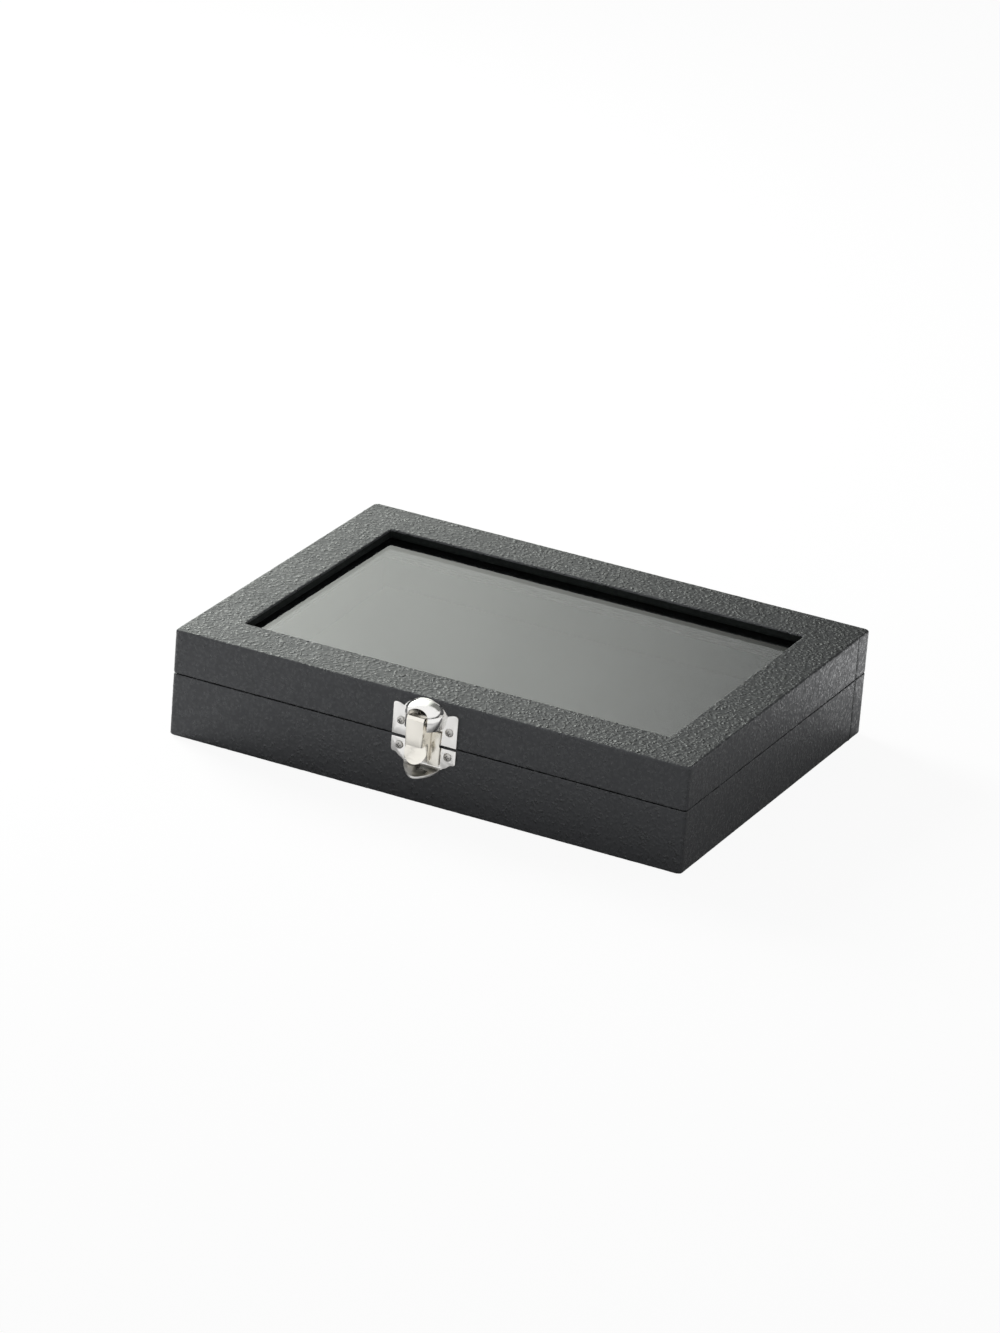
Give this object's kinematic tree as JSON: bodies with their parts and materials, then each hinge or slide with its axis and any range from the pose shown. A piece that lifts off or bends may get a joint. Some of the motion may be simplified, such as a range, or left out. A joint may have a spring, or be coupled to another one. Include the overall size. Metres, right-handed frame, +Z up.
{
  "type": "jewelry display tray",
  "caption": "Leatherette covered jewelry display tray with a hinged glass topped lid, velvet lining, removable velvet pad, front swing hasp latch and rear stop hinges.",
  "frame": {"origin": "centre of the case's underside, on the surface that it stands on", "axes": "+X along the front towards the right end, -Y towards the user at the latch, +Z up"},
  "size_m": [0.2134, 0.175, 0.0432],
  "materials": {
    "leatherette": "black pebble grained leatherette, semi gloss",
    "fibreboard": "raw fibreboard",
    "velvet": "black short pile velvet",
    "card": "black paper covered card",
    "glass": "clear float glass",
    "nickel": "bright nickel plated pressed steel",
    "screw_nickel": "nickel plated steel, satin",
    "pin_steel": "plain drawn steel"
  },
  "bodies": {
    "tray": {"base_front_wall": "fibreboard", "base_back_wall": "fibreboard", "base_left_wall": "fibreboard", "base_right_wall": "fibreboard", "base_floor_panel": "fibreboard", "base_underside_cover": "card", "base_leatherette_wrap": "leatherette", "base_lining_floor": "velvet", "base_lining_front": "velvet", "base_lining_back": "velvet", "base_lining_left": "velvet", "base_lining_right": "velvet", "pad_board": "card", "pad_velvet_cushion": "velvet", "latch_base_plate": "nickel", "latch_screw_lower_left": "screw_nickel", "latch_screw_lower_right": "screw_nickel", "hinge_left_base_leaf": "nickel", "hinge_left_pin": "pin_steel", "hinge_left_base_screw_left": "screw_nickel", "hinge_left_base_screw_right": "screw_nickel", "hinge_right_base_leaf": "nickel", "hinge_right_pin": "pin_steel", "hinge_right_base_screw_left": "screw_nickel", "hinge_right_base_screw_right": "screw_nickel"},
    "lid": {"lid_front_wall": "fibreboard", "lid_back_wall": "fibreboard", "lid_left_wall": "fibreboard", "lid_right_wall": "fibreboard", "lid_front_rail": "fibreboard", "lid_back_rail": "fibreboard", "lid_left_rail": "fibreboard", "lid_right_rail": "fibreboard", "lid_leatherette_wrap": "leatherette", "lid_glass_pane": "glass", "lid_lining_front": "velvet", "lid_lining_back": "velvet", "lid_lining_left": "velvet", "lid_lining_right": "velvet", "latch_lid_plate": "nickel", "latch_pin": "pin_steel", "latch_screw_upper_left": "screw_nickel", "latch_screw_upper_right": "screw_nickel", "hinge_left_lid_leaf": "nickel", "hinge_left_lid_screw_left": "screw_nickel", "hinge_left_lid_screw_right": "screw_nickel", "hinge_right_lid_leaf": "nickel", "hinge_right_lid_screw_left": "screw_nickel", "hinge_right_lid_screw_right": "screw_nickel"},
    "hasp": {"latch_hasp": "nickel"}
  },
  "joints": [
    {"name": "lid_hinge", "type": "hinge", "parent": "tray", "child": "lid", "pos_m": [0, 0.08201, 0.02563], "axis": [-1, 0, 0], "range_deg": [0, 105]},
    {"name": "hasp_swing", "type": "hinge", "parent": "lid", "child": "hasp", "pos_m": [0, -0.08471, 0.03443], "axis": [-1, 0, 0], "range_deg": [0, 75]}
  ]
}
